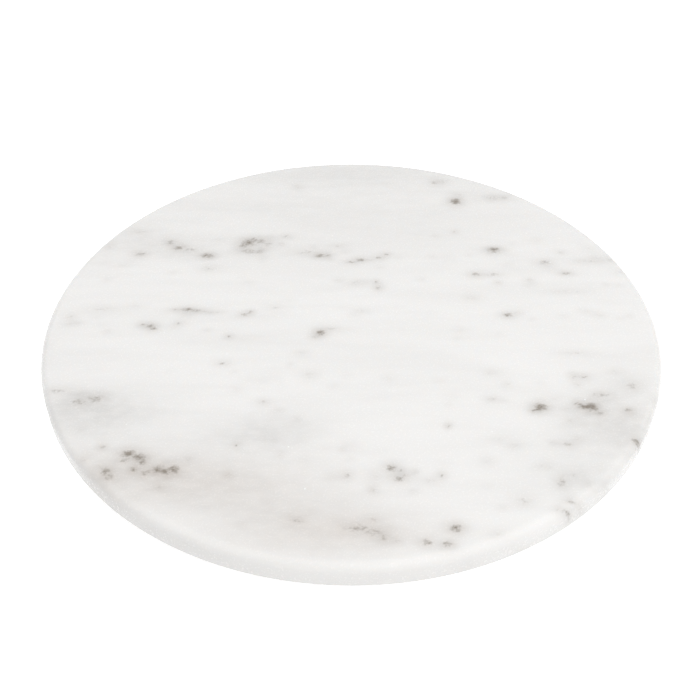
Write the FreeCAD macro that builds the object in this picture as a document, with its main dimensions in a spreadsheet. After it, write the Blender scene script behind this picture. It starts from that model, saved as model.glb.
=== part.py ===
"""A stone lazy susan: a honed marble top that turns on a slim aluminium ball-bearing ring.

Lengths are in millimetres. +Z is up, and the origin is on the table under the centre of the top.

From the table up there are six screwed rubber feet, the base ring that stands on them, the balls
and their cage strips, the turning ring inside the base ring, a foam cushion and the stone.
"""

import FreeCAD, Part
import math
import os

import Sketcher

Vector = FreeCAD.Vector

# Driving dimensions: alias, millimetres (or a count or a share), and what it is.
SIZES = [
    ("stone_diameter", 304.8, "across the stone top"),
    ("stone_thickness", 12.7, "top face to underside of the stone"),
    ("stone_top_round", 4.2, "eased edge round the top face"),
    ("stone_under_round", 2.0, "eased edge round the underside"),
    ("ball_circle_diameter", 168.0, "circle through the ball centres"),
    ("ball_diameter", 6.0, "one steel ball"),
    ("race_clearance", 0.08, "ball surface to the wall of the race"),
    ("ring_gap", 2.4, "base ring to turning ring, across the balls"),
    ("ring_lip", 1.42, "metal above and below the race"),
    ("ring_step", 1.0, "height of the turning ring over the base ring"),
    ("ring_edge_break", 0.8, "rounded outer corners of the rings"),
    ("cage_side_clearance", 0.4, "cage strip to each ring"),
    ("cage_rim", 0.85, "cage strip above and below a ball pocket"),
    ("cage_end_gap", 0.9, "between the ends of two cage strips"),
    ("pocket_clearance", 0.15, "ball to its pocket in the cage"),
    ("strip_count", 4, "cage strips round the circle"),
    ("balls_per_strip", 9, "ball pockets in one cage strip"),
    ("plug_over_ball", 0.8, "filling hole, wider than a ball by this"),
    ("plug_fit", 0.02, "filling plug to its hole, radially"),
    ("plug_recess", 0.5, "plug below the outer wall of the base ring"),
    ("plug_socket_across", 3.0, "hexagon socket, across flats"),
    ("plug_socket_depth", 3.0, "hexagon socket"),
    ("cushion_thickness", 1.0, "foam between turning ring and stone"),
    ("cushion_inset", 1.2, "foam set back from both edges of the turning ring"),
    ("cushion_hole_clearance", 0.5, "shank to its hole in the foam, radially"),
    ("ring_screw_count", 4, "screws from the turning ring into the stone"),
    ("ring_screw_diameter", 4.0, "shank"),
    ("ring_screw_head", 8.0, "countersunk head, across"),
    ("ring_screw_sink", 0.2, "head below the face of the ring"),
    ("ring_screw_clearance", 0.25, "shank to its hole in the ring, radially"),
    ("screw_land_margin", 4.0, "metal each side of a screw head in the turning ring"),
    ("insert_diameter", 6.4, "threaded insert in the stone"),
    ("insert_length", 8.0, "threaded insert in the stone"),
    ("insert_bond_gap", 0.05, "adhesive round an insert"),
    ("insert_hole_spare", 1.0, "stone hole deeper than the insert"),
    ("insert_waist_depth", 0.5, "adhesive groove round the insert"),
    ("insert_waist_width", 1.6, "adhesive groove round the insert"),
    ("thread_fit", 0.03, "screw shank to a tapped wall, radially"),
    ("screw_tip_clearance", 1.2, "screw end to the end of its thread"),
    ("foot_count", 6, "rubber feet"),
    ("foot_height", 6.0, "table to the underside of the base ring"),
    ("foot_diameter", 16.0, "across the top of a foot"),
    ("foot_taper", 0.8, "foot radius lost from top to bottom"),
    ("foot_land_margin", 1.46, "metal each side of a foot under the base ring"),
    ("foot_tread_depth", 0.6, "ring groove in the sole of a foot"),
    ("foot_tread_width", 0.7, "ring groove in the sole of a foot"),
    ("foot_screw_diameter", 3.0, "shank"),
    ("foot_screw_head", 5.6, "pan head, across"),
    ("foot_screw_head_height", 1.9, "pan head"),
    ("foot_screw_sink", 0.9, "pan head above the table"),
    ("foot_hole_clearance", 0.25, "shank to its hole in the foot, radially"),
    ("foot_recess_clearance", 0.4, "washer to the wall of the foot's recess, radially"),
    ("foot_thread_roof", 2.0, "metal above a foot screw's blind hole"),
    ("washer_diameter", 7.2, "steel washer in a foot"),
    ("washer_thickness", 0.6, "steel washer in a foot"),
    ("washer_clearance", 0.15, "shank to the washer, radially"),
    ("pan_crown_share", 0.7, "flat crown of a pan head, as a share of its radius"),
    ("pan_shoulder_share", 0.4, "rounded part of a pan head, as a share of its height"),
    ("recess_reach_share", 0.5, "half a bar of the cross recess, as a share of the head's radius"),
    ("recess_bar_width", 0.9, "one bar of the cross recess in a screw head"),
    ("recess_depth", 1.3, "cross recess in a screw head"),
]

doc = FreeCAD.newDocument("LazySusan")


class Size:
    """A length or count: its value now, and the expression over the sheet that drives it."""

    def __init__(self, text, value):
        self.text = text
        self.value = value

    def __add__(self, other):
        other = as_size(other)
        return Size(f"({self.text} + {other.text})", self.value + other.value)

    def __sub__(self, other):
        other = as_size(other)
        return Size(f"({self.text} - {other.text})", self.value - other.value)

    def __mul__(self, factor):
        other = as_size(factor)
        return Size(f"({self.text} * {other.text})", self.value * other.value)

    def __truediv__(self, divisor):
        other = as_size(divisor)
        return Size(f"({self.text} / {other.text})", self.value / other.value)


def as_size(number):
    return number if isinstance(number, Size) else Size(repr(float(number)), float(number))


def sizes_sheet():
    """Fills the spreadsheet and returns its cells by alias."""
    sheet = doc.addObject("Spreadsheet::Sheet", "Sizes")
    cells = {}
    for row, (alias, number, meaning) in enumerate(SIZES, start=1):
        sheet.set(f"A{row}", alias)
        sheet.set(f"B{row}", str(number))
        sheet.set(f"C{row}", meaning)
        sheet.setAlias(f"B{row}", alias)
        cells[alias] = Size(f"Sizes.{alias}", float(number))
    doc.recompute()
    return cells


s = sizes_sheet()

# Heights, from the table up.
base_floor = s["foot_height"]
race_radius = s["ball_diameter"] / 2 + s["race_clearance"]
ring_height = race_radius * 2 + s["ring_lip"] * 2 + s["ring_step"]
base_roof = base_floor + ring_height
turning_floor = base_floor + s["ring_step"]
turning_roof = turning_floor + ring_height
ball_height = (base_floor + turning_roof) / 2
stone_floor = turning_roof + s["cushion_thickness"]
stone_roof = stone_floor + s["stone_thickness"]

# Radii, from the ball circle out to the base ring and in to the turning ring.
stone_radius = s["stone_diameter"] / 2
ball_circle = s["ball_circle_diameter"] / 2
base_bore = ball_circle + s["ring_gap"] / 2
foot_land = ball_circle + race_radius
base_rim = foot_land + s["foot_land_margin"] * 2 + s["foot_diameter"]
foot_circle = (foot_land + base_rim) / 2
turning_rim = ball_circle - s["ring_gap"] / 2
screw_land = ball_circle - race_radius
turning_bore = screw_land - s["screw_land_margin"] * 2 - s["ring_screw_head"]
screw_circle = (turning_bore + screw_land) / 2

# The filling hole and its plug lie midway between two feet.
plug_radius = (s["ball_diameter"] + s["plug_over_ball"]) / 2
filling_turn = as_size(180) / s["foot_count"]

# Heights inside a foot and its thread in the base ring.
foot_washer_floor = s["foot_screw_sink"] + s["foot_screw_head_height"]
foot_recess_roof = foot_washer_floor + s["washer_thickness"]
foot_thread_end = base_roof - s["foot_thread_roof"]

# How far the cuts that start at the centre line run outwards, past the wall they go through.
past_cage = ball_circle + s["ring_gap"]
past_base_ring = base_rim + s["ball_diameter"]

ZERO = as_size(0)
SAME_PLACE = 1e-6  # millimetres within which two edges are the same


def bind(feature, prop, size):
    feature.setExpression(prop, size.text)


def origin_of(body, role):
    """The body's own origin plane or axis with this role."""
    return next(o for o in body.Origin.OriginFeatures if o.Role == role)


def new_body(name):
    body = doc.addObject("PartDesign::Body", name)
    body.Label = name
    return body


def new_sketch(body, name, plane="XZ_Plane", offset=None, turn=None):
    """A sketch on one of the body's origin planes, moved along the normal or turned about its own Y."""
    sketch = body.newObject("Sketcher::SketchObject", name)
    sketch.AttachmentSupport = (origin_of(body, plane), [""])
    sketch.MapMode = "FlatFace"
    if offset is not None:
        sketch.AttachmentOffset = FreeCAD.Placement(Vector(0, 0, offset.value), FreeCAD.Rotation())
        bind(sketch, "AttachmentOffset.Base.z", offset)
    if turn is not None:
        turned_frame = FreeCAD.Rotation(Vector(0, 1, 0), turn.value)
        sketch.AttachmentOffset = FreeCAD.Placement(Vector(), turned_frame)
        bind(sketch, "AttachmentOffset.Rotation.Angle", turn)
    return sketch


def drive(sketch, kind, size, *where):
    """One sketch dimension bound to a size."""
    index = sketch.addConstraint(Sketcher.Constraint(kind, *where, size.value))
    bind(sketch, f"Constraints[{index}]", size)


def pin_point(sketch, geometry, end, x, y):
    """Holds a point of the sketch at two sizes from the sketch's origin."""
    for kind, size, axis in (("DistanceX", x, -2), ("DistanceY", y, -1)):
        if size is ZERO:
            sketch.addConstraint(Sketcher.Constraint("PointOnObject", geometry, end, axis))
        else:
            drive(sketch, kind, size, -1, 1, geometry, end)


def outline(sketch, corners):
    """A closed outline of straight lines through the corners, each held at its sizes."""
    points = [Vector(x.value, y.value, 0) for x, y in corners]
    count = len(points)
    for i in range(count):
        sketch.addGeometry(Part.LineSegment(points[i], points[(i + 1) % count]))
    for i in range(count):
        sketch.addConstraint(Sketcher.Constraint("Coincident", i, 2, (i + 1) % count, 1))
    for i, (x, y) in enumerate(corners):
        pin_point(sketch, i, 1, x, y)
    return sketch


def rectangle(sketch, low_x, high_x, low_y, high_y):
    return outline(sketch, [(low_x, low_y), (high_x, low_y), (high_x, high_y), (low_x, high_y)])


def circle(sketch, x, y, radius):
    centre = Vector(x.value, y.value, 0)
    sketch.addGeometry(Part.Circle(centre, Vector(0, 0, 1), radius.value))
    pin_point(sketch, 0, 3, x, y)
    drive(sketch, "Radius", radius, 0)
    return sketch


def own_axis(sketch, x, low, high, level=None):
    """A construction line for a piece turned about its own axis: upright at x, or level at a height."""
    ends = [(x, low), (x, high)] if level is None else [(low, level), (high, level)]
    a, b = (Vector(u.value, v.value, 0) for u, v in ends)
    line = sketch.addGeometry(Part.LineSegment(a, b), True)
    for end, (u, v) in enumerate(ends, start=1):
        pin_point(sketch, line, end, u, v)


def turned(body, name, sketch, cut=False, about_own_axis=False):
    """Revolves a sketch a full turn about the body's Z axis, or about the sketch's own line."""
    kind = "PartDesign::Groove" if cut else "PartDesign::Revolution"
    feature = body.newObject(kind, name)
    feature.Profile = sketch
    if about_own_axis:
        feature.ReferenceAxis = (sketch, ["Axis0"])
    else:
        feature.ReferenceAxis = (origin_of(body, "Z_Axis"), [""])
    feature.Angle = 360
    body.Tip = feature
    return feature


def pocket(body, name, sketch, depth, along_normal=False):
    feature = body.newObject("PartDesign::Pocket", name)
    feature.Profile = sketch
    feature.Length = depth.value
    bind(feature, "Length", depth)
    feature.Reversed = along_normal
    body.Tip = feature
    return feature


def around(body, name, features, count, span=None):
    """Repeats features about the Z axis: evenly round a full turn, or with the last copy at the span."""
    pattern = body.newObject("PartDesign::PolarPattern", name)
    pattern.Originals = features
    pattern.Axis = (origin_of(body, "Z_Axis"), [""])
    pattern.Angle = 360
    if span is not None:
        pattern.Angle = span.value
        bind(pattern, "Angle", span)
    pattern.Occurrences = int(count.value)
    bind(pattern, "Occurrences", count)
    body.Tip = pattern
    return pattern


def turn_body(body, angle):
    """Turns a finished body about the Z axis to its place round the rings."""
    body.Placement = FreeCAD.Placement(Vector(), FreeCAD.Rotation(Vector(0, 0, 1), angle.value))
    bind(body, "Placement.Rotation.Angle", angle)
    return body


def round_corners(body, name, base, corners, radius):
    """Fillets the circular edges of a turned feature that run through the given corners."""
    doc.recompute()
    names = []
    for index, edge in enumerate(base.Shape.Edges, start=1):
        curve = edge.Curve
        if curve.TypeId != "Part::GeomCircle":
            continue
        for x, y in corners:
            if max(abs(curve.Radius - x.value), abs(curve.Center.z - y.value)) < SAME_PLACE:
                names.append(f"Edge{index}")
    fillet = body.newObject("PartDesign::Fillet", name)
    fillet.Base = (base, sorted(set(names)))
    fillet.Radius = radius.value
    bind(fillet, "Radius", radius)
    body.Tip = fillet
    return fillet


def cross_recess(body, sketch, screw_axis, head_radius, depth):
    """A cross-shaped driver recess that opens downwards in a screw head."""
    bar = s["recess_bar_width"] / 2
    reach = head_radius * s["recess_reach_share"]
    steps = [(reach, bar), (bar, bar), (bar, reach)]
    corners = []
    for turn_x, turn_y in ((1, 0), (0, 1), (-1, 0), (0, -1)):
        for u, v in steps:
            corners.append((screw_axis + u * turn_x - v * turn_y, ZERO + u * turn_y + v * turn_x))
    outline(sketch, corners)
    return pocket(body, "Recess", sketch, depth, along_normal=True)


def stone_top():
    """The marble disc, eased at both edges, with blind holes for the inserts."""
    body = new_body("marble_top")
    disc = turned(
        body, "Disc", rectangle(new_sketch(body, "DiscSection"), ZERO, stone_radius, stone_floor, stone_roof)
    )
    eased = round_corners(body, "TopEdge", disc, [(stone_radius, stone_roof)], s["stone_top_round"])
    round_corners(body, "UnderEdge", eased, [(stone_radius, stone_floor)], s["stone_under_round"])
    hole_radius = s["insert_diameter"] / 2 + s["insert_bond_gap"]
    sketch = new_sketch(body, "InsertHoleSection")
    hole_end = stone_floor + s["insert_length"] + s["insert_hole_spare"]
    rectangle(sketch, screw_circle, screw_circle + hole_radius, stone_floor, hole_end)
    own_axis(sketch, screw_circle, stone_floor, hole_end)
    hole = turned(body, "InsertHole", sketch, cut=True, about_own_axis=True)
    around(body, "InsertHoles", [hole], s["ring_screw_count"])
    return body


def stone_inserts():
    """Brass threaded inserts bonded into the stone, each with an adhesive groove at its waist."""
    body = new_body("stone_inserts")
    outer = screw_circle + s["insert_diameter"] / 2
    waist = outer - s["insert_waist_depth"]
    bore = screw_circle + s["ring_screw_diameter"] / 2 + s["thread_fit"]
    top = stone_floor + s["insert_length"]
    middle = stone_floor + s["insert_length"] / 2
    low = middle - s["insert_waist_width"] / 2
    high = middle + s["insert_waist_width"] / 2
    sketch = new_sketch(body, "InsertSection")
    outline(
        sketch,
        [(bore, stone_floor), (outer, stone_floor), (outer, low), (waist, low)]
        + [(waist, high), (outer, high), (outer, top), (bore, top)],
    )
    own_axis(sketch, screw_circle, stone_floor, top)
    insert = turned(body, "Insert", sketch, about_own_axis=True)
    around(body, "Inserts", [insert], s["ring_screw_count"])
    return body


def cushion_ring():
    """The foam ring that keeps metal off the stone."""
    body = new_body("cushion_ring")
    sketch = new_sketch(body, "FoamSection")
    low, high = turning_bore + s["cushion_inset"], turning_rim - s["cushion_inset"]
    rectangle(sketch, low, high, turning_roof, stone_floor)
    turned(body, "Foam", sketch)
    hole_radius = s["ring_screw_diameter"] / 2 + s["cushion_hole_clearance"]
    sketch = new_sketch(body, "ScrewHoleSection")
    rectangle(sketch, screw_circle, screw_circle + hole_radius, turning_roof, stone_floor)
    own_axis(sketch, screw_circle, turning_roof, stone_floor)
    hole = turned(body, "ScrewHole", sketch, cut=True, about_own_axis=True)
    around(body, "ScrewHoles", [hole], s["ring_screw_count"])
    return body


def cut_race(body):
    """The ball race: a round groove on the ball circle."""
    sketch = circle(new_sketch(body, "RaceSection"), ball_circle, ball_height, race_radius)
    return turned(body, "Race", sketch, cut=True)


def turning_ring():
    """The inner aluminium ring, countersunk from below, which carries the stone."""
    body = new_body("turning_ring")
    section = new_sketch(body, "RingSection")
    ring = turned(body, "Ring", rectangle(section, turning_bore, turning_rim, turning_floor, turning_roof))
    bore_corners = [(turning_bore, turning_floor), (turning_bore, turning_roof)]
    round_corners(body, "BoreEdges", ring, bore_corners, s["ring_edge_break"])
    cut_race(body)
    shank = s["ring_screw_diameter"] / 2 + s["ring_screw_clearance"]
    mouth = s["ring_screw_head"] / 2 + s["ring_screw_sink"]
    cone_end = turning_floor + mouth - shank
    sketch = new_sketch(body, "ScrewHoleSection")
    outline(
        sketch,
        [(screw_circle, turning_floor), (screw_circle + mouth, turning_floor)]
        + [(screw_circle + shank, cone_end), (screw_circle + shank, turning_roof), (screw_circle, turning_roof)],
    )
    own_axis(sketch, screw_circle, turning_floor, turning_roof)
    hole = turned(body, "ScrewHole", sketch, cut=True, about_own_axis=True)
    around(body, "ScrewHoles", [hole], s["ring_screw_count"])
    return body


def turning_ring_screws():
    """Countersunk screws up through the turning ring and the foam into the inserts."""
    body = new_body("turning_ring_screws")
    head = s["ring_screw_head"] / 2
    shank = s["ring_screw_diameter"] / 2
    face = turning_floor + s["ring_screw_sink"]
    cone_end = face + head - shank
    tip = stone_floor + s["insert_length"] - s["screw_tip_clearance"]
    sketch = new_sketch(body, "ScrewSection")
    outline(
        sketch,
        [(screw_circle, face), (screw_circle + head, face), (screw_circle + shank, cone_end)]
        + [(screw_circle + shank, tip), (screw_circle, tip)],
    )
    own_axis(sketch, screw_circle, face, tip)
    screw = turned(body, "Screw", sketch, about_own_axis=True)
    recess_sketch = new_sketch(body, "RecessOutline", "XY_Plane", face)
    recess = cross_recess(body, recess_sketch, screw_circle, head, s["recess_depth"])
    around(body, "Screws", [screw, recess], s["ring_screw_count"])
    return body


def bearing_balls():
    """All the balls, evenly spaced round the ball circle."""
    body = new_body("bearing_balls")
    radius = s["ball_diameter"] / 2
    top, bottom = ball_height + radius, ball_height - radius
    sketch = new_sketch(body, "BallSection")
    up = Vector(ball_circle.value, top.value, 0)
    side = Vector((ball_circle + radius).value, ball_height.value, 0)
    down = Vector(ball_circle.value, bottom.value, 0)
    arc = sketch.addGeometry(Part.Arc(down, side, up))
    chord = sketch.addGeometry(Part.LineSegment(up, down))
    sketch.addConstraint(Sketcher.Constraint("Coincident", arc, 2, chord, 1))
    sketch.addConstraint(Sketcher.Constraint("Coincident", arc, 1, chord, 2))
    pin_point(sketch, arc, 3, ball_circle, ball_height)
    pin_point(sketch, chord, 1, ball_circle, top)
    sketch.addConstraint(Sketcher.Constraint("Vertical", chord))
    own_axis(sketch, ball_circle, bottom, top)
    ball = turned(body, "Ball", sketch, about_own_axis=True)
    around(body, "Balls", [ball], s["strip_count"] * s["balls_per_strip"])
    return body


def cage_strip(number):
    """One nylon strip of the ball cage: an arc of thin band with a round pocket for each ball."""
    body = new_body(f"cage_strip_{number}")
    half_band = s["ring_gap"] / 2 - s["cage_side_clearance"]
    pocket_radius = s["ball_diameter"] / 2 + s["pocket_clearance"]
    half_height = pocket_radius + s["cage_rim"]
    section = new_sketch(body, "BandSection")
    low, high = ball_height - half_height, ball_height + half_height
    band = turned(body, "Band", rectangle(section, ball_circle - half_band, ball_circle + half_band, low, high))
    pitch = as_size(360) / (s["strip_count"] * s["balls_per_strip"])
    span = pitch * (s["balls_per_strip"] - 1)
    end_gap = s["cage_end_gap"] / ball_circle * math.degrees(1)
    before = (pitch - end_gap) / 2
    band.Type = "TwoAngles"
    for side, angle in (("Angle", span + before), ("Angle2", before)):
        setattr(band, side, angle.value)
        bind(band, side, angle)
    hole_sketch = circle(new_sketch(body, "PocketOutline", "YZ_Plane"), ZERO, ball_height, pocket_radius)
    hole = pocket(body, "Pocket", hole_sketch, past_cage, along_normal=True)
    around(body, "Pockets", [hole], s["balls_per_strip"], span)
    return turn_body(body, as_size(360) / s["strip_count"] * (number - 1))


def base_ring():
    """The outer aluminium ring that stands on the feet, with its ball-filling hole between two feet."""
    body = new_body("base_ring")
    section = new_sketch(body, "RingSection")
    ring = turned(body, "Ring", rectangle(section, base_bore, base_rim, base_floor, base_roof))
    rim_corners = [(base_rim, base_floor), (base_rim, base_roof)]
    round_corners(body, "RimEdges", ring, rim_corners, s["ring_edge_break"])
    cut_race(body)
    wall = s["foot_screw_diameter"] / 2 + s["thread_fit"]
    sketch = new_sketch(body, "FootThreadSection")
    rectangle(sketch, foot_circle, foot_circle + wall, base_floor, foot_thread_end)
    own_axis(sketch, foot_circle, base_floor, foot_thread_end)
    hole = turned(body, "FootThread", sketch, cut=True, about_own_axis=True)
    around(body, "FootThreads", [hole], s["foot_count"])
    sketch = new_sketch(body, "FillingHoleOutline", "YZ_Plane", turn=filling_turn)
    circle(sketch, ZERO, ball_height, plug_radius + s["plug_fit"])
    pocket(body, "FillingHole", sketch, past_base_ring, along_normal=True)
    return body


def filling_plug():
    """The grub screw that closes the filling hole. Its inner end is cut to the shape of the race."""
    body = new_body("filling_plug")
    outer_end = base_rim - s["plug_recess"]
    sketch = new_sketch(body, "PlugSection")
    rectangle(sketch, base_bore, outer_end, ball_height, ball_height + plug_radius)
    own_axis(sketch, None, base_bore, outer_end, level=ball_height)
    turned(body, "Plug", sketch, about_own_axis=True)
    cut_race(body)
    flat = s["plug_socket_across"] / 2
    corner = s["plug_socket_across"] / math.sqrt(3)
    upper, lower = ball_height + corner / 2, ball_height - corner / 2
    left = ZERO - flat
    corners = [(left, upper), (ZERO, ball_height + corner), (flat, upper)]
    corners += [(flat, lower), (ZERO, ball_height - corner), (left, lower)]
    sketch = outline(new_sketch(body, "SocketOutline", "YZ_Plane", offset=outer_end), corners)
    pocket(body, "Socket", sketch, s["plug_socket_depth"])
    return turn_body(body, filling_turn)


def foot(number):
    """One rubber foot: a short cone with a recess for its screw and a tread groove in the sole."""
    body = new_body(f"foot_{number}")
    top = foot_circle + s["foot_diameter"] / 2
    sole = top - s["foot_taper"]
    bore = foot_circle + s["foot_screw_diameter"] / 2 + s["foot_hole_clearance"]
    recess = s["washer_diameter"] / 2 + s["foot_recess_clearance"]
    wall = foot_circle + recess
    sketch = new_sketch(body, "FootSection")
    outline(
        sketch,
        [(wall, ZERO), (sole, ZERO), (top, base_floor), (bore, base_floor)]
        + [(bore, foot_recess_roof), (wall, foot_recess_roof)],
    )
    own_axis(sketch, foot_circle, ZERO, base_floor)
    turned(body, "Foot", sketch, about_own_axis=True)
    middle = (wall + sole) / 2
    half_tread = s["foot_tread_width"] / 2
    sketch = new_sketch(body, "TreadSection")
    rectangle(sketch, middle - half_tread, middle + half_tread, ZERO, s["foot_tread_depth"])
    own_axis(sketch, foot_circle, ZERO, base_floor)
    turned(body, "Tread", sketch, cut=True, about_own_axis=True)
    return turn_body(body, as_size(360) / s["foot_count"] * (number - 1))


def foot_washers():
    """A steel washer in each foot, between the rubber and the screw head."""
    body = new_body("foot_washers")
    bore = foot_circle + s["foot_screw_diameter"] / 2 + s["washer_clearance"]
    sketch = new_sketch(body, "WasherSection")
    rectangle(sketch, bore, foot_circle + s["washer_diameter"] / 2, foot_washer_floor, foot_recess_roof)
    own_axis(sketch, foot_circle, foot_washer_floor, foot_recess_roof)
    washer = turned(body, "Washer", sketch, about_own_axis=True)
    around(body, "Washers", [washer], s["foot_count"])
    return body


def foot_screws():
    """Pan-head screws up through the feet into the base ring."""
    body = new_body("foot_screws")
    head = s["foot_screw_head"] / 2
    crown = head * s["pan_crown_share"]
    shoulder = s["foot_screw_sink"] + s["foot_screw_head_height"] * s["pan_shoulder_share"]
    shank = foot_circle + s["foot_screw_diameter"] / 2
    tip = foot_thread_end - s["screw_tip_clearance"]
    sketch = new_sketch(body, "ScrewSection")
    outline(
        sketch,
        [(foot_circle, s["foot_screw_sink"]), (foot_circle + crown, s["foot_screw_sink"])]
        + [(foot_circle + head, shoulder), (foot_circle + head, foot_washer_floor)]
        + [(shank, foot_washer_floor), (shank, tip), (foot_circle, tip)],
    )
    own_axis(sketch, foot_circle, s["foot_screw_sink"], tip)
    screw = turned(body, "Screw", sketch, about_own_axis=True)
    recess_sketch = new_sketch(body, "RecessOutline", "XY_Plane", s["foot_screw_sink"])
    recess = cross_recess(body, recess_sketch, foot_circle, head, s["recess_depth"])
    around(body, "Screws", [screw, recess], s["foot_count"])
    return body


def check(bodies):
    """Stops the build if any object failed or any body is not a sound solid."""
    failed = [o.Label for o in doc.Objects if {"Invalid", "Error"} & set(o.State)]
    unsound = [b.Label for b in bodies if b.Shape.isNull() or not b.Shape.isValid() or not b.Shape.Solids]
    if failed or unsound:
        raise RuntimeError(f"failed objects {failed}, unsound bodies {unsound}")


def main():
    bodies = [
        stone_top(),
        stone_inserts(),
        cushion_ring(),
        turning_ring(),
        turning_ring_screws(),
        bearing_balls(),
        base_ring(),
        filling_plug(),
        foot_washers(),
        foot_screws(),
    ]
    bodies += [cage_strip(n) for n in range(1, int(s["strip_count"].value) + 1)]
    bodies += [foot(n) for n in range(1, int(s["foot_count"].value) + 1)]
    doc.recompute()
    check(bodies)
    os.makedirs("parts", exist_ok=True)
    for body in bodies:
        body.Shape.exportStep(f"parts/{body.Label}.step")
        print(f"{body.Label}: {len(body.Shape.Solids)} solids, {body.Shape.Volume:.1f} mm3")


main()
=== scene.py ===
"""A stone lazy susan: a honed marble top on a slim ball-bearing ring with rubber feet.

The metal, the balls and the fixings come from the frame and get their finishes here. The stone, the
feet and the foam ring are modelled here. Lengths are in metres, except where a name ends in _mm.
"""

import math
import random

import bpy
import numpy as np
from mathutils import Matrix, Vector


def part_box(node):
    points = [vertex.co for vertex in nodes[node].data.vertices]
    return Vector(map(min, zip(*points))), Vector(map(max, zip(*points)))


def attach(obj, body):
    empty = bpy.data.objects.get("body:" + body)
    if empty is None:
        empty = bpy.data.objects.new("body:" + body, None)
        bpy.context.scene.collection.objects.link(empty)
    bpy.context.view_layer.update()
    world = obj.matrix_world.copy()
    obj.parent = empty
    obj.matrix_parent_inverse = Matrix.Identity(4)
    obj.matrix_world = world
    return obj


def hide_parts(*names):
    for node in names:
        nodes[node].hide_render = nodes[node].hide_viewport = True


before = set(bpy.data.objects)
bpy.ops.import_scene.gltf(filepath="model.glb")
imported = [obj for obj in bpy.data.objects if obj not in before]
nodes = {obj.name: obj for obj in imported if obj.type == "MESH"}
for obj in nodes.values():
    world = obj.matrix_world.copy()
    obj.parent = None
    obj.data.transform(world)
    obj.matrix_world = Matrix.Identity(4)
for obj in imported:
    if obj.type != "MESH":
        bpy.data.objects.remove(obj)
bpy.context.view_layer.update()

MM = 0.001
scene = bpy.context.scene


# ---------------------------------------------------------------------------------------------
# Node trees


class Wiring:
    """Adds nodes to one tree and joins their sockets."""

    def __init__(self, tree):
        self.tree = tree

    def feed(self, socket, value):
        if isinstance(value, bpy.types.NodeSocket):
            self.tree.links.new(value, socket)
        else:
            socket.default_value = value

    def add(self, kind, inputs=None, **settings):
        node = self.tree.nodes.new(kind)
        for name, value in settings.items():
            setattr(node, name, value)
        for key, value in (inputs or {}).items():
            self.feed(node.inputs[key], value)
        return node

    def math(self, operation, *values):
        return self.add("ShaderNodeMath", dict(enumerate(values)), operation=operation).outputs[0]

    def vector(self, operation, *values):
        return self.add("ShaderNodeVectorMath", dict(enumerate(values)), operation=operation).outputs[0]

    def split(self, vector):
        return self.add("ShaderNodeSeparateXYZ", {0: vector}).outputs

    def combine(self, x=0.0, y=0.0, z=0.0):
        return self.add("ShaderNodeCombineXYZ", {0: x, 1: y, 2: z}).outputs[0]


# ---------------------------------------------------------------------------------------------
# Shapes made by geometry trees

SHARP_FOLD = math.radians(30)  # edges that fold more than this stay crisp
WELD = 1e-6


def geometry_tree(name, **inputs):
    """An empty tree with these named inputs. Returns its wiring, its inputs and its output node."""
    tree = bpy.data.node_groups.new(name, "GeometryNodeTree")
    for label, kind in inputs.items():
        tree.interface.new_socket(label, in_out="INPUT", socket_type=f"NodeSocket{kind}")
    tree.interface.new_socket("Mesh", in_out="OUTPUT", socket_type="NodeSocketGeometry")
    wiring = Wiring(tree)
    start = wiring.add("NodeGroupInput")
    sockets = {label: start.outputs[label] for label in inputs}
    return wiring, sockets, wiring.add("NodeGroupOutput")


def finish_tree(w, mesh, finish, output):
    """Welds the mesh, keeps sharp folds crisp, gives it its finish and sends it out."""
    mesh = w.add("GeometryNodeMergeByDistance", {"Geometry": mesh, "Distance": WELD}).outputs[0]
    mesh = w.add("GeometryNodeSetShadeSmooth", {"Geometry": mesh}).outputs[0]
    fold = w.add("GeometryNodeInputMeshEdgeAngle").outputs["Unsigned Angle"]
    gentle = w.add("FunctionNodeCompare", {"A": fold, "B": SHARP_FOLD}, operation="LESS_THAN")
    crisp = {"Geometry": mesh, "Shade Smooth": gentle.outputs[0]}
    mesh = w.add("GeometryNodeSetShadeSmooth", crisp, domain="EDGE").outputs[0]
    mesh = w.add("GeometryNodeRealizeInstances", {"Geometry": mesh}).outputs[0]
    w.feed(output.inputs[0], w.add("GeometryNodeSetMaterial", {"Geometry": mesh, "Material": finish}).outputs[0])


def spread_round(w, instance, count, circle, first_turn):
    """Copies of an instance round a circle about Z, each turned to face outwards."""
    index = w.add("GeometryNodeInputIndex").outputs[0]
    turn = w.math("ADD", w.math("DIVIDE", w.math("MULTIPLY", index, math.tau), count), first_turn)
    place = w.combine(
        w.math("MULTIPLY", w.math("COSINE", turn), circle), w.math("MULTIPLY", w.math("SINE", turn), circle)
    )
    points = w.add("GeometryNodePoints", {"Count": count, "Position": place}).outputs[0]
    copies = {"Points": points, "Instance": instance, "Rotation": w.combine(z=turn)}
    copies = w.add("GeometryNodeInstanceOnPoints", copies).outputs[0]
    return w.add("GeometryNodeRealizeInstances", {"Geometry": copies}).outputs[0]


def carry_round(w, outline, reach, steps):
    """Carries an outline round the Z axis. The rail would hang it upside down, so it is tipped over first."""
    tipped = w.add("GeometryNodeTransform", {"Geometry": outline, "Rotation": (math.pi, 0, 0)}).outputs[0]
    rail = w.add("GeometryNodeCurvePrimitiveCircle", {"Resolution": steps, "Radius": reach}).outputs[0]
    return w.add("GeometryNodeCurveToMesh", {"Curve": rail, "Profile Curve": tipped}).outputs[0]


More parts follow.
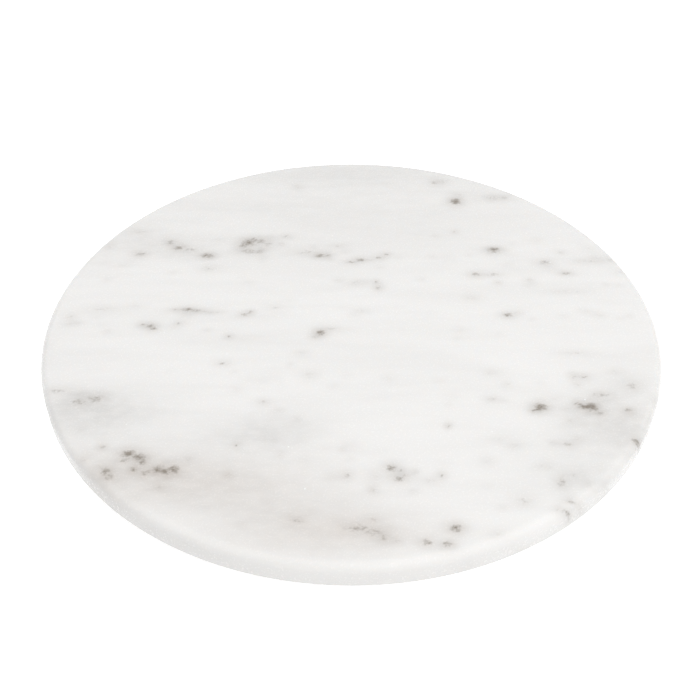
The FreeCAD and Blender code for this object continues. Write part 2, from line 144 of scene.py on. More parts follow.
def stone_disc_tree():
    """A disc of even square cells, eased round both edges, with blind holes in its underside."""
    w, size, output = geometry_tree(
        "Stone disc", Radius="Float", Floor="Float", Roof="Float", Top_Round="Float", Under_Round="Float",
        Cells="Int", Round_Steps="Int", Holes="Int", Hole_Circle="Float", Hole_Radius="Float",
        Hole_Depth="Float", Finish="Material",
    )

    # A square sheet of cells, pressed out into a round one: each square ring of cells becomes a round ring.
    corners = w.math("ADD", size["Cells"], 1.0)
    sheet = {"Size X": 2.0, "Size Y": 2.0, "Vertices X": corners, "Vertices Y": corners}
    sheet = w.add("GeometryNodeMeshGrid", sheet).outputs["Mesh"]
    a, b, _ = w.split(w.add("GeometryNodeInputPosition").outputs[0])
    sideways = w.math("GREATER_THAN", w.math("ABSOLUTE", a), w.math("ABSOLUTE", b))

    def pick(test, yes, no):
        node = w.add("GeometryNodeSwitch", input_type="FLOAT")
        for key, value in (("Switch", test), ("True", yes), ("False", no)):
            w.feed(node.inputs[key], value)
        return node.outputs[0]

    reach, rest = pick(sideways, a, b), pick(sideways, b, a)
    turn = w.math("MULTIPLY", w.math("DIVIDE", rest, reach), math.pi / 4)
    along = w.math("MULTIPLY", reach, w.math("COSINE", turn))
    across = w.math("MULTIPLY", reach, w.math("SINE", turn))
    x, y = pick(sideways, along, across), pick(sideways, across, along)
    flat_faces = []
    for height, rounding in ((size["Roof"], size["Top_Round"]), (size["Floor"], size["Under_Round"])):
        flat = w.math("SUBTRACT", size["Radius"], rounding)
        place = w.combine(w.math("MULTIPLY", x, flat), w.math("MULTIPLY", y, flat), height)
        flat_faces.append(w.add("GeometryNodeSetPosition", {"Geometry": sheet, "Position": place}).outputs[0])
    flat_faces[1] = w.add("GeometryNodeFlipFaces", {"Mesh": flat_faces[1]}).outputs[0]

    # The wall: an outline with two eased corners, carried round the rim.
    outline = w.add(
        "GeometryNodeCurvePrimitiveQuadrilateral",
        {
            "Point 1": w.combine(w.math("MULTIPLY", size["Top_Round"], -1.0), size["Roof"]),
            "Point 2": w.combine(0.0, size["Roof"]),
            "Point 3": w.combine(0.0, size["Floor"]),
            "Point 4": w.combine(w.math("MULTIPLY", size["Under_Round"], -1.0), size["Floor"]),
        },
        mode="POINTS",
    ).outputs[0]
    outline = w.add("GeometryNodeSetSplineCyclic", {"Geometry": outline, "Cyclic": False}).outputs[0]
    corner = w.add("GeometryNodeInputIndex").outputs[0]
    rounding = pick(w.math("LESS_THAN", corner, 1.5), size["Top_Round"], size["Under_Round"])
    eased = {"Curve": outline, "Count": size["Round_Steps"], "Radius": rounding}
    eased = w.add("GeometryNodeFilletCurve", eased, mode="POLY").outputs[0]
    wall = carry_round(w, eased, size["Radius"], w.math("MULTIPLY", size["Cells"], 4.0))

    joined = w.add("GeometryNodeJoinGeometry")
    for part in (wall, flat_faces[1], flat_faces[0]):
        w.feed(joined.inputs[0], part)
    solid = w.add("GeometryNodeMergeByDistance", {"Geometry": joined.outputs[0], "Distance": WELD}).outputs[0]

    drill = {"Vertices": 48, "Radius": size["Hole_Radius"], "Depth": w.math("MULTIPLY", size["Hole_Depth"], 2.0)}
    drill = w.add("GeometryNodeMeshCylinder", drill).outputs["Mesh"]
    raised = {"Geometry": drill, "Translation": w.combine(z=size["Floor"])}
    drill = w.add("GeometryNodeTransform", raised).outputs[0]
    drills = spread_round(w, drill, size["Holes"], size["Hole_Circle"], 0.0)
    drilled = w.add("GeometryNodeMeshBoolean", {"Mesh 1": solid, "Mesh 2": drills}, operation="DIFFERENCE")
    finish_tree(w, drilled.outputs[0], size["Finish"], output)
    return w.tree


def turned_pieces_tree():
    """Turns an outline about an upright axis and repeats the turned piece round a circle."""
    w, size, output = geometry_tree(
        "Turned pieces", Outline="Object", Reach="Float", Steps="Int", Pieces="Int", Circle="Float",
        First_Turn="Float", Finish="Material",
    )
    outline = w.add("GeometryNodeObjectInfo", {"Object": size["Outline"]}).outputs["Geometry"]
    inwards = {"Geometry": outline, "Translation": w.combine(w.math("MULTIPLY", size["Reach"], -1.0))}
    outline = w.add("GeometryNodeTransform", inwards).outputs[0]
    piece = carry_round(w, outline, size["Reach"], size["Steps"])
    piece = w.add("GeometryNodeFlipFaces", {"Mesh": piece}).outputs[0]  # outlines run anticlockwise
    pieces = spread_round(w, piece, size["Pieces"], size["Circle"], size["First_Turn"])
    finish_tree(w, pieces, size["Finish"], output)
    return w.tree


def made_by(tree, name, **sizes):
    """Runs a tree with these sizes and keeps the result as a plain mesh object at the origin."""
    piece = bpy.data.objects.new(name, bpy.data.meshes.new(name))
    scene.collection.objects.link(piece)
    modifier = piece.modifiers.new("Shape", "NODES")
    modifier.node_group = tree
    for item in tree.interface.items_tree:
        if item.in_out == "INPUT":
            modifier[item.identifier] = sizes[item.name]
    depsgraph = bpy.context.evaluated_depsgraph_get()
    mesh = bpy.data.meshes.new_from_object(piece.evaluated_get(depsgraph), depsgraph=depsgraph)
    piece.modifiers.remove(modifier)
    piece.data = mesh
    mesh.name = name
    mesh.materials.clear()
    mesh.materials.append(sizes["Finish"])
    mesh.polygons.foreach_set("material_index", [0] * len(mesh.polygons))
    return piece


def outline_curve(name, points, closed=True):
    """A flat outline for turning: each point is a radius and a height."""
    curve = bpy.data.curves.new(name, "CURVE")
    spline = curve.splines.new("POLY")
    spline.points.add(len(points) - 1)
    for point, (radius, height) in zip(spline.points, points):
        point.co = (radius, height, 0, 1)
    spline.use_cyclic_u = closed
    shape = bpy.data.objects.new(name, curve)
    scene.collection.objects.link(shape)
    return shape


def eased_outline(corners, steps=5):
    """Rounds the corners of an outline. Each corner is a radius, a height and the rounding there."""
    points = []
    for i, (x, z, rounding) in enumerate(corners):
        here = Vector((x, z))
        before = Vector(corners[i - 1][:2]) - here
        after = Vector(corners[(i + 1) % len(corners)][:2]) - here
        if not rounding:
            points.append(tuple(here))
            continue
        half = before.angle(after) / 2
        leg = rounding / math.tan(half)
        start, end = here + before.normalized() * leg, here + after.normalized() * leg
        centre = here + (before.normalized() + after.normalized()).normalized() * (rounding / math.sin(half))
        for step in range(steps + 1):
            spoke = (start - centre).lerp(end - centre, step / steps)
            points.append(tuple(centre + spoke.normalized() * rounding))
    return points


def radii(node):
    """The least and the greatest distance of a node's surface from the Z axis."""
    places = np.empty(len(node.data.vertices) * 3, np.float32)
    node.data.vertices.foreach_get("co", places)
    reach = np.hypot(places[0::3], places[1::3])
    return float(reach.min()), float(reach.max())


# ---------------------------------------------------------------------------------------------
# Finishes


def new_finish(name):
    material = bpy.data.materials.new(name)
    material.use_nodes = True
    material.node_tree.nodes.clear()
    w = Wiring(material.node_tree)
    shader = w.add("ShaderNodeBsdfPrincipled")
    w.feed(w.add("ShaderNodeOutputMaterial").inputs["Surface"], shader.outputs[0])
    place = w.vector("SCALE", w.add("ShaderNodeTexCoord").outputs["Object"])
    place.node.inputs["Scale"].default_value = 1 / MM
    return material, w, shader, place


def noise(w, place, stretch, detail=3.0, roughness=0.5, distortion=0.0, turn=0.0):
    """Noise from 0 to 1 over a place in millimetres, one blob to each stretch (x, y, z) millimetres."""
    scale = tuple(1 / s for s in stretch)
    place = w.add("ShaderNodeMapping", {0: place, "Rotation": (0, 0, turn), "Scale": scale}).outputs[0]
    inputs = {"Vector": place, "Scale": 1.0, "Detail": detail, "Roughness": roughness, "Distortion": distortion}
    return w.add("ShaderNodeTexNoise", inputs).outputs["Fac"]


def ramp(w, value, low, high, start=0.0, end=1.0):
    """Eases a value from start, at low, to end, at high."""
    inputs = {"Value": value, "From Min": low, "From Max": high, "To Min": start, "To Max": end}
    return w.add("ShaderNodeMapRange", inputs, interpolation_type="SMOOTHSTEP").outputs[0]


def blend(w, share, first, second):
    """Mixes two colours."""
    node = w.add("ShaderNodeMix", data_type="RGBA")
    for socket, value in ((node.inputs["Factor"], share), (node.inputs[6], first), (node.inputs[7], second)):
        w.feed(socket, (*value, 1.0) if isinstance(value, tuple) else value)
    return node.outputs[2]


def raise_surface(w, shader, height, depth_mm, strength=1.0):
    bump = {"Height": height, "Distance": depth_mm * MM, "Strength": strength}
    w.feed(shader.inputs["Normal"], w.add("ShaderNodeBump", bump).outputs[0])


def honed_marble():
    """White marble, beds stretched along X, with grey cloud, warm stain and grainy dark flecks."""
    material, w, shader, place = new_finish("honed marble")
    veining = w.add("ShaderNodeAttribute", attribute_name="veining").outputs["Color"]
    fleck, cloud, warmth = w.add("ShaderNodeSeparateColor", {0: veining}).outputs

    dip = math.radians(2)
    beds = noise(w, place, (95, 19, 19), detail=2.5, distortion=0.6, turn=dip)
    thin_beds = noise(w, place, (30, 6, 6), detail=3, distortion=0.3, turn=dip)
    wisps = noise(w, place, (7, 4, 4), detail=3, roughness=0.55)
    crystals = noise(w, place, (0.9, 0.9, 0.9), detail=2, roughness=0.6)
    grains = noise(w, place, (2.2, 1.7, 1.7), detail=3, roughness=0.65)

    pure, grey = (0.905, 0.897, 0.883), (0.50, 0.49, 0.475)
    warm, grain = (0.72, 0.645, 0.585), (0.235, 0.20, 0.162)
    shade = w.math("ADD", ramp(w, beds, 0.3, 0.75, 0.0, 0.085), ramp(w, thin_beds, 0.35, 0.75, 0.0, 0.035))
    drifting = w.math("MULTIPLY", cloud, ramp(w, wisps, 0.25, 0.72, 0.7, 1.2))
    shade = w.math("ADD", shade, drifting)
    shade = w.math("ADD", shade, ramp(w, crystals, 0.25, 0.8, 0.0, 0.03))
    stone = blend(w, w.math("MINIMUM", shade, 0.9), pure, grey)
    stone = blend(w, w.math("MULTIPLY", warmth, 1.1), stone, warm)
    broken = w.math("ADD", fleck, w.math("MULTIPLY", w.math("SUBTRACT", grains, 0.5), 1.6))
    speck = w.math("MULTIPLY", ramp(w, broken, 0.05, 1.05), ramp(w, fleck, 0.0, 0.4, 0.0, 0.88))
    stone = blend(w, speck, stone, grain)
    # painted glints: tiny near-white spots in the colour stand in for crystals catching the light
    w.feed(shader.inputs["Base Color"], painted_glints(w, place, stone))

    w.feed(shader.inputs["Roughness"], ramp(w, crystals, 0.2, 0.8, 0.2, 0.3))
    shader.inputs["IOR"].default_value = 1.55
    shader.inputs["Subsurface Weight"].default_value = 0.35
    shader.inputs["Subsurface Radius"].default_value = (1.0, 0.9, 0.8)
    shader.inputs["Subsurface Scale"].default_value = 1.5 * MM
    raise_surface(w, shader, crystals, 0.004)
    return material


def painted_glints(w, place, stone):
    """Painted glints: a few tiny spots of the colour made near white where crystals would catch the light, one to
    some of the cells of a coarse division.
    """
    cells = w.add("ShaderNodeTexVoronoi", {"Vector": place, "Scale": 1 / 9, "Randomness": 1.0})
    chosen = w.math("GREATER_THAN", w.split(cells.outputs["Color"])[0], 0.72)
    close = w.math("LESS_THAN", cells.outputs["Distance"], 0.045)
    return blend(w, w.math("MULTIPLY", chosen, close), stone, (0.98, 0.98, 0.97))


def turned_aluminium():
    """Satin anodised metal with the fine rings that turning leaves."""
    material, w, shader, place = new_finish("satin aluminium")
    x, y, z = w.split(place)
    reach = w.math("SQRT", w.math("ADD", w.math("MULTIPLY", x, x), w.math("MULTIPLY", y, y)))
    lines = noise(w, w.combine(reach, 0.0, z), (0.16, 1, 0.16), detail=2, roughness=0.7)
    bloom = noise(w, place, (18, 18, 6), detail=4)
    specks = noise(w, place, (0.35, 0.35, 0.35), detail=1)
    metal = blend(w, bloom, (0.53, 0.535, 0.54), (0.62, 0.622, 0.62))
    metal = blend(w, ramp(w, lines, 0.35, 0.7, 0.0, 0.35), metal, (0.43, 0.435, 0.445))
    w.feed(shader.inputs["Base Color"], metal)
    shader.inputs["Metallic"].default_value = 1.0
    gloss = w.math("ADD", ramp(w, lines, 0.3, 0.7, 0.27, 0.37), w.math("MULTIPLY", specks, 0.06))
    w.feed(shader.inputs["Roughness"], gloss)
    raise_surface(w, shader, lines, 0.006)
    return material


def mottled(name, pale, deep, blob_mm, rough, metallic=0.0, grain_mm=0.4, depth_mm=0.004, sheen=0.0):
    """A plain material with uneven colour and gloss, and a fine surface grain."""
    material, w, shader, place = new_finish(name)
    uneven = noise(w, place, (blob_mm,) * 3, detail=4, roughness=0.6)
    fine = noise(w, place, (grain_mm,) * 3, detail=2, roughness=0.6)
    colour = blend(w, ramp(w, uneven, 0.3, 0.7), pale, deep)
    colour = blend(w, ramp(w, fine, 0.45, 0.8, 0.0, 0.3), colour, deep)
    w.feed(shader.inputs["Base Color"], colour)
    low, high = rough
    spread = w.math("ADD", w.math("MULTIPLY", uneven, 0.6), w.math("MULTIPLY", fine, 0.4))
    w.feed(shader.inputs["Roughness"], ramp(w, spread, 0.3, 0.7, low, high))
    shader.inputs["Metallic"].default_value = metallic
    shader.inputs["Sheen Weight"].default_value = sheen
    raise_surface(w, shader, fine, depth_mm)
    return material


def closed_foam():
    """Charcoal foam with small closed cells."""
    material, w, shader, place = new_finish("charcoal foam")
    cells = w.add("ShaderNodeTexVoronoi", {"Vector": place, "Scale": 2.6}, feature="F1").outputs["Distance"]
    uneven = noise(w, place, (4, 4, 4))
    foam = blend(w, ramp(w, cells, 0.1, 0.7), (0.028, 0.028, 0.030), (0.075, 0.075, 0.078))
    foam = blend(w, w.math("MULTIPLY", uneven, 0.4), foam, (0.05, 0.05, 0.052))
    w.feed(shader.inputs["Base Color"], foam)
    w.feed(shader.inputs["Roughness"], ramp(w, cells, 0.0, 0.8, 0.95, 0.75))
    raise_surface(w, shader, cells, 0.12)
    return material


# ---------------------------------------------------------------------------------------------
# Markings of the stone, in millimetres from the middle of its top face

# Each fleck: x, y, half its length along the beds, half its width, and how dark it is.
FLECKS = [
    (-60, 62, 2, 1.5, 0.5), (-57, 65, 3, 2.4, 0.8), (-53, 68, 3, 1.4, 0.55), (-50, 66, 3, 2, 0.4),
    (-46, 64, 3, 2.4, 0.25), (-56, 57, 4, 2.2, 0.4), (-50, 57, 2.4, 2, 0.35), (-100, 65, 2.6, 2.6, 0.4),
    (-95, 60, 2.2, 1.8, 0.7), (-89, 58, 5, 3, 0.22), (-79, 53, 2.2, 1.8, 0.8), (-76, 52, 1.2, 1, 0.65),
    (-115, 54, 2.6, 1.6, 0.45), (-76, 41, 4, 2, 0.2), (-36, 71, 2, 1.1, 0.35), (-39, 64, 0.7, 0.7, 0.4),
    (-24, 56, 5, 1.8, 0.25), (-17, 53, 2.2, 1.5, 0.7), (-13, 53, 2, 1.3, 0.5), (-8, 62, 3, 1, 0.2),
    (-119, 75, 4, 1.6, 0.18), (-133, 61, 1.4, 2, 0.2), (-32, 123, 2.6, 2.6, 0.18), (0, 47, 3, 1.4, 0.35),
    (5, 49, 2.4, 1.3, 0.6), (10, 49, 3, 1.1, 0.25), (15, 51, 1.9, 1.1, 0.55), (19, 54, 1.4, 0.9, 0.5),
    (-88, 6, 3, 1, 0.35), (-83, 6, 2.2, 1.2, 0.7), (-78, 5, 3.4, 1, 0.45), (-70, 4, 4, 0.8, 0.22),
    (-51, 4, 1, 1, 0.55), (-54, 2, 1.8, 1, 0.5), (-39, 8, 4, 2, 0.14), (-126, 6, 6, 2, 0.14),
    (-141, 0, 1.5, 1.5, 0.25), (61, 107, 2.4, 2.6, 1.05), (63, 114, 2, 2, 0.18), (50, 128, 2.4, 2, 0.32),
    (54, 129, 3, 2.4, 0.22), (83, 111, 4, 2, 0.26), (90, 111, 1.4, 1.1, 0.35), (78, 59, 2.5, 1.3, 0.95),
    (78, 57, 4, 2, 0.35), (58, 76, 0.8, 0.8, 0.35), (66, 36, 2.3, 1.6, 0.45), (75, 36, 3, 1.2, 0.32),
    (77, 29, 1.2, 0.9, 0.3), (94, 31, 1.4, 1, 0.25), (114, 56, 1.4, 1.4, 0.22), (104, 47, 3, 1.6, 0.4),
    (114, 37, 2.4, 1.3, 0.45), (128, 48, 6, 1.1, 0.22), (112, 21, 8, 1.3, 0.16), (13, 29, 0.8, 1.2, 0.45),
    (14, 24, 1.4, 1.4, 0.5), (2, 28, 3, 1.4, 0.18), (62, 16, 2.4, 1.8, 0.16), (79, 2, 2.1, 1.4, 0.65),
    (84, 4, 2, 1.1, 0.22), (-104, -6, 1.5, 1.2, 0.4), (-100, -7, 2, 1.4, 0.6), (-98, -9, 1.5, 1.2, 0.6),
    (-86, -5, 1.5, 1.2, 0.3), (-60, -15, 1.2, 1, 0.4), (-53, -17, 6, 1.4, 0.1), (-15, -12, 1.7, 1.7, 0.95),
    (-18, -15, 1.3, 1, 0.4), (-10, -9, 4, 1.1, 0.22), (-24, -27, 2, 1, 0.18), (-61, -35, 2, 1, 0.36),
    (-40, -61, 1.8, 1, 0.32), (-135, -54, 4, 1.4, 0.28), (-124, -61, 4, 2.6, 0.3), (-117, -59, 3.4, 2.4, 0.4),
    (-108, -89, 0.9, 0.9, 0.6), (-96, -93, 2.6, 1.7, 1.0), (-91, -95, 2.5, 1.5, 0.9), (-89, -98, 1.7, 1.2, 0.7),
    (-97, -97, 2, 1.4, 0.45), (-92, -102, 1.3, 1.2, 0.8), (-87, -104, 1.5, 1, 0.75), (-82, -102, 2.4, 1.7, 0.7),
    (-79, -103, 2.4, 1.7, 0.9), (-75, -102, 2, 1.9, 0.85), (-104, -103, 2.2, 1.8, 0.6), (-102, -106, 2, 1.5, 0.6),
    (-115, -96, 2.4, 1, 0.22), (-70, -96, 1, 1, 0.24), (-80, -112, 1.2, 1, 0.26), (-50, -88, 0.7, 0.7, 0.45),
    (-52, -105, 1.2, 0.9, 0.28), (-22, -129, 3, 1.8, 0.26), (-2, -105, 1.3, 1.1, 0.5), (3, -133, 6, 1.9, 0.34),
    (9, -135, 4, 1.9, 0.32), (13, -138, 1.2, 1.1, 0.55), (9, -129, 1.5, 0.9, 0.36), (18, -139, 1.2, 0.9, 0.36),
    (17, -101, 2, 1.7, 0.65), (21, -102, 1, 0.9, 0.36), (20, -107, 2.1, 1.3, 0.62), (23, -105, 2, 1, 0.3),
    (27, -103, 0.6, 0.6, 0.4), (33, -108, 3, 1, 0.22), (38, -105, 0.9, 0.9, 0.45), (9, -113, 1, 1, 0.36),
    (42, -133, 2.1, 1.4, 1.05), (30, -140, 2, 1.2, 0.65), (38, -141, 1.7, 0.9, 0.85), (58, -136, 2, 0.9, 0.18),
    (86, -64, 2.2, 2, 1.05), (83, -66, 1.2, 1, 0.85), (103, -62, 1, 1, 0.75), (106, -64, 2.7, 1.5, 0.85),
    (109, -64, 2, 2.2, 1.15), (112, -68, 1.2, 1, 0.65), (115, -56, 4, 1.8, 0.32), (125, -66, 1.4, 1.2, 0.5),
    (130, -50, 2.4, 2.4, 0.3), (104, -44, 1.2, 1, 0.4), (109, -44, 1.5, 1, 0.48), (105, -49, 0.8, 0.7, 0.32),
    (107, -27, 6, 1, 0.18), (72, -49, 1.4, 1.2, 0.18), (64, -59, 2, 1, 0.32), (43, -76, 0.55, 0.55, 0.85),
    (124, -85, 1.3, 1.5, 0.6), (88, -86, 0.8, 0.7, 0.3), (94, -87, 2, 1, 0.36), (99, -84, 0.9, 0.7, 0.36),
    (86, -123.5, 2.5, 0.7, 0.45), (65, -84, 3, 1.1, 0.13), (88, -109, 1.7, 2.2, 0.42), (90, -119, 1.8, 0.9, 0.4), (71, -119, 3, 1.8, 0.26),
]

# Each cloud: x, y, half its length, half its width, how grey it is and how warm.
CLOUDS = [
    (-118, -68, 34, 14, 0.42, 0.0), (-92, -104, 40, 15, 0.30, 0.55), (-50, -112, 46, 15, 0.36, 0.5),
    (-38, -80, 26, 12, 0.38, 0.0), (-8, -135, 40, 12, 0.36, 0.7), (118, -74, 24, 16, 0.42, 0.1),
    (128, -48, 20, 10, 0.14, 0.0), (95, -102, 26, 12, 0.16, 0.0), (0, 138, 95, 18, 0.24, 0.0),
    (-10, 98, 110, 22, 0.15, 0.12), (85, 112, 26, 8, 0.10, 0.0), (-125, 70, 26, 16, 0.16, 0.1),
    (-70, 58, 60, 14, 0.13, 0.1), (20, 72, 70, 8, 0.06, 0.2), (110, 46, 36, 12, 0.08, 0.1),
    (-30, -14, 80, 7, 0.06, 0.1),
]

FAINT_LIFT = 0.75  # below 1, this brings the faint flecks up and leaves the dark ones
HALO = 0.45  # how grey the stone is round a fully dark fleck
RUST = 0.5  # how warm that halo is, as a share of its grey
SMALL_FLECKS = 150
BED_HEIGHTS_MM = (62, 50, 30, 5, -10, -45, -62, -86, -104, -132)
BED_DIP = 0.7  # how far the beds slide along X for each millimetre down into the stone


def scattered_flecks(reach_mm):
    """Small faint flecks strewn along the beds, the same each time."""
    chance = random.Random(7)
    strewn = []
    while len(strewn) < SMALL_FLECKS:
        x = chance.uniform(-reach_mm, reach_mm)
        y = chance.choice(BED_HEIGHTS_MM) + chance.gauss(0, 5)
        if math.hypot(x, y) < reach_mm:
            length = chance.uniform(0.5, 2.4)
            strewn.append((x, y, length, length * chance.uniform(0.4, 0.9), chance.uniform(0.03, 0.2)))
    return strewn


def mark_stone(stone, reach, roof):
    """Stores on the stone's surface how flecked, clouded and warm it is at each point."""
    mesh = stone.data
    places = np.empty(len(mesh.vertices) * 3, np.float32)
    mesh.vertices.foreach_get("co", places)
    x, y, z = places.reshape(-1, 3).T / MM
    x = x - BED_DIP * (roof / MM - z)

    def patch(centre_x, centre_y, length, width, sharpness=2.0):
        distance = ((x - centre_x) / length) ** 2 + ((y - centre_y) / width) ** 2
        return np.exp(-(distance ** (sharpness / 2)) / 2)

    fleck, cloud, warmth = (np.zeros_like(x) for _ in range(3))
    for centre_x, centre_y, length, width, depth in FLECKS + scattered_flecks(reach / MM):
        dark = depth ** FAINT_LIFT
        fleck = np.maximum(fleck, patch(centre_x, centre_y, length * 0.8, width * 0.8) * dark)
        halo = patch(centre_x, centre_y, length * 1.15 + 0.8, width * 1.15 + 0.8) * dark * HALO
        cloud = cloud + halo * (1 - cloud)
        warmth = np.maximum(warmth, halo * RUST)
    for centre_x, centre_y, length, width, grey, warm in CLOUDS:
        soft = patch(centre_x, centre_y, length * 0.7, width * 0.7)
        cloud = cloud + soft * grey * 0.75
        warmth = warmth + soft * warm * grey
    values = np.stack([fleck, cloud, warmth, np.ones_like(x)], axis=1).astype(np.float32)
    veining = mesh.attributes.new("veining", "FLOAT_COLOR", "POINT")
    veining.data.foreach_set("color", values.ravel())


# ---------------------------------------------------------------------------------------------
# Pieces


def make_stone(finish):
    """The marble disc, in place of the plain one."""
    low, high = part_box("marble_top")
    bore_low, bore_high = radii(nodes["stone_inserts"])
    holes = 4
    stone = made_by(
        stone_disc_tree(), "marble_disc",
        Radius=high[0], Floor=low[2], Roof=high[2], Top_Round=4.2 * MM, Under_Round=2 * MM,
        Cells=196, Round_Steps=8, Holes=holes, Hole_Circle=(bore_low + bore_high) / 2,
        Hole_Radius=(bore_high - bore_low) / 2 + 0.05 * MM,
        Hole_Depth=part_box("stone_inserts")[1][2] - low[2] + 1 * MM, Finish=finish,
    )
    mark_stone(stone, high[0], high[2])
    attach(stone, "top")
    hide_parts("marble_top")
    return stone


def make_feet(finish):
    """Six moulded rubber feet with soft corners, a screw recess and a tread groove in each sole."""
    feet = [name for name in nodes if name.startswith("foot_") and name[5:].isdigit()]
    low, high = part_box("foot_1")
    circle, top = (low[0] + high[0]) / 2, (high[0] - low[0]) / 2
    washer_low, washer_high = radii(nodes["foot_washers"])
    recess_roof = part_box("foot_washers")[1][2]
    sole, recess, bore = top - 0.8 * MM, (washer_high - washer_low) / 2 + 0.4 * MM, 1.75 * MM
    middle, groove, tread = (sole + recess) / 2, 0.35 * MM, 0.6 * MM
    corners = [
        (bore, recess_roof, 0), (recess, recess_roof, 0), (recess, 0.0, 0.35 * MM),
        (middle - groove, 0.0, 0.15 * MM), (middle - groove, tread, 0.1 * MM),
        (middle + groove, tread, 0.1 * MM), (middle + groove, 0.0, 0.15 * MM),
        (sole, 0.0, 0.6 * MM), (top, high[2], 0.3 * MM), (bore, high[2], 0),
    ]
    outline = outline_curve("foot outline", eased_outline(corners))
    rubber = made_by(
        turned_pieces, "rubber_feet", Outline=outline, Reach=top, Steps=72, Pieces=len(feet), Circle=circle,
        First_Turn=0.0, Finish=finish,
    )
    bpy.data.objects.remove(outline)
    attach(rubber, "base")
    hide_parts(*feet)
    return rubber


def make_foam(finish):
    """The foam ring, squeezed a little proud between the metal and the stone."""
    low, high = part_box("cushion_ring")
    inner, outer = radii(nodes["cushion_ring"])
    squeeze = 0.15 * MM
    corners = [
        (inner, low[2], 0), (outer, low[2], 0), (outer + squeeze, (low[2] + high[2]) / 2, 0.5 * MM),
        (outer, high[2], 0), (inner, high[2], 0), (inner - squeeze, (low[2] + high[2]) / 2, 0.5 * MM),
    ]
    outline = outline_curve("foam outline", eased_outline(corners))
    foam = made_by(
        turned_pieces, "foam_ring", Outline=outline, Reach=outer, Steps=256, Pieces=1, Circle=0.0,
        First_Turn=0.0, Finish=finish,
    )
    bpy.data.objects.remove(outline)
    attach(foam, "top")
    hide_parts("cushion_ring")
    return foam


def dress(finishes):
    """Gives each piece that stays from the frame its finish."""
    for finish, names in finishes:
        for name in names:
            node = nodes[name]
            node.data.materials.clear()
            node.data.materials.append(finish)


turned_pieces = turned_pieces_tree()
make_stone(honed_marble())
make_feet(mottled("grey rubber", (0.050, 0.050, 0.052), (0.032, 0.032, 0.034), 5, (0.55, 0.75), grain_mm=0.25,
                  depth_mm=0.02, sheen=0.1))
make_foam(closed_foam())

nylon = mottled("natural nylon", (0.80, 0.785, 0.74), (0.74, 0.72, 0.67), 6, (0.35, 0.5))
zinc = mottled("bright zinc", (0.66, 0.68, 0.70), (0.52, 0.54, 0.56), 1.6, (0.24, 0.42), metallic=1.0)
balls = mottled("ball steel", (0.72, 0.73, 0.74), (0.62, 0.63, 0.64), 3, (0.07, 0.14), metallic=1.0, depth_mm=0.001)
oxide = mottled("black oxide", (0.045, 0.043, 0.042), (0.075, 0.066, 0.058), 1.2, (0.32, 0.5), metallic=0.8)
brass = mottled("insert brass", (0.72, 0.52, 0.24), (0.60, 0.41, 0.17), 2, (0.25, 0.42), metallic=1.0)
strips = [name for name in nodes if name.startswith("cage_strip_")]
dress([
    (turned_aluminium(), ["base_ring", "turning_ring"]),
    (nylon, strips),
    (zinc, ["foot_screws", "foot_washers", "turning_ring_screws"]),
    (balls, ["bearing_balls"]),
    (oxide, ["filling_plug"]),
    (brass, ["stone_inserts"]),
])


# ---------------------------------------------------------------------------------------------
# Room


def shown_white(w):
    """1 where the camera, a gloss or a clear surface looks straight at it, else 0."""
    path = w.add("ShaderNodeLightPath").outputs
    seen = w.math("MAXIMUM", path["Is Camera Ray"], path["Is Glossy Ray"])
    return w.math("MAXIMUM", seen, path["Is Transmission Ray"])


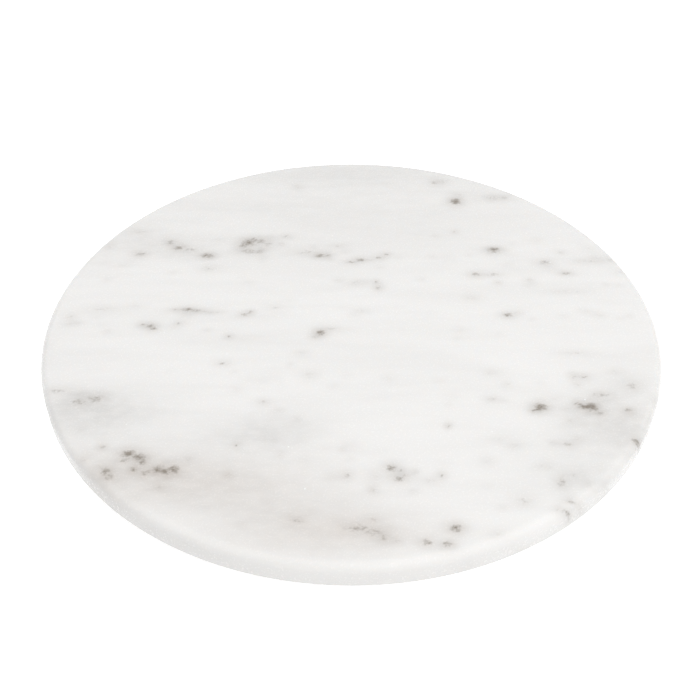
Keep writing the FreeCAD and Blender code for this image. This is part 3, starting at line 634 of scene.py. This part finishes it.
def make_floor():
    """A pale floor that reads white and keeps a faint shadow of the turntable."""
    half = 4.0
    mesh = bpy.data.meshes.new("floor")
    mesh.from_pydata([(-half, -half, 0), (half, -half, 0), (half, half, 0), (-half, half, 0)], [], [(0, 1, 2, 3)])
    floor = bpy.data.objects.new("floor", mesh)
    scene.collection.objects.link(floor)
    material = bpy.data.materials.new("white floor")
    material.use_nodes = True
    material.node_tree.nodes.clear()
    w = Wiring(material.node_tree)
    paint = w.add("ShaderNodeBsdfDiffuse", {"Color": (0.82, 0.82, 0.82, 1)}).outputs[0]
    lift = w.add("ShaderNodeEmission", {"Strength": w.math("MULTIPLY", shown_white(w), FLOOR_LIFT)}).outputs[0]
    both = w.add("ShaderNodeAddShader", {0: paint, 1: lift}).outputs[0]
    w.feed(w.add("ShaderNodeOutputMaterial").inputs["Surface"], both)
    mesh.materials.append(material)


def make_sky(level):
    """Even light from all round, seen as white."""
    world = bpy.data.worlds.new("studio")
    scene.world = world
    world.use_nodes = True
    world.node_tree.nodes.clear()
    w = Wiring(world.node_tree)
    strength = w.add("ShaderNodeMapRange", {"Value": shown_white(w), "To Min": level, "To Max": 1.0}).outputs[0]
    sky = w.add("ShaderNodeBackground", {"Color": (1, 1, 1, 1), "Strength": strength}).outputs[0]
    w.feed(w.add("ShaderNodeOutputWorld").inputs["Surface"], sky)


def softbox(name, place, aim, width, height, watts):
    """A lamp behind a wide cloth. It lights the turntable but is not seen, even in a gloss."""
    lamp = bpy.data.lights.new(name, "AREA")
    lamp.shape = "RECTANGLE"
    lamp.size, lamp.size_y, lamp.energy = width, height, watts
    box = bpy.data.objects.new(name, lamp)
    scene.collection.objects.link(box)
    box.visible_camera = box.visible_glossy = False
    box.location = place
    box.rotation_euler = (Vector(aim) - Vector(place)).to_track_quat("-Z", "Y").to_euler()


def make_camera(roof):
    """Stands in front of the turntable and looks down at it."""
    lens = bpy.data.cameras.new("camera")
    lens.lens, lens.sensor_width, lens.clip_start = 50, 36, 0.01
    camera = bpy.data.objects.new("camera", lens)
    scene.collection.objects.link(camera)
    scene.camera = camera
    camera.location = (0.0, -0.3785, roof + 0.3093)
    aim = Vector((-0.0006, -0.025, roof))
    look = (aim - camera.location).to_track_quat("-Z", "Y")
    camera.rotation_mode = "QUATERNION"
    camera.rotation_quaternion = look


FLOOR_LIFT = 0.66
SKY_LEVEL = 0.45
make_floor()
make_sky(SKY_LEVEL)
softbox("overhead", (0.0, 0.0, 1.6), (0, 0, 0), 1.8, 1.8, 14.6)
softbox("front", (0.5, -1.1, 0.85), (0, 0, 0), 1.6, 0.9, 5.6)
softbox("low front", (0.5, -1.25, 0.22), (0, 0, 0), 2.0, 0.35, 1.3)
make_camera(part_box("marble_top")[1][2])
scene.view_settings.view_transform = "Standard"
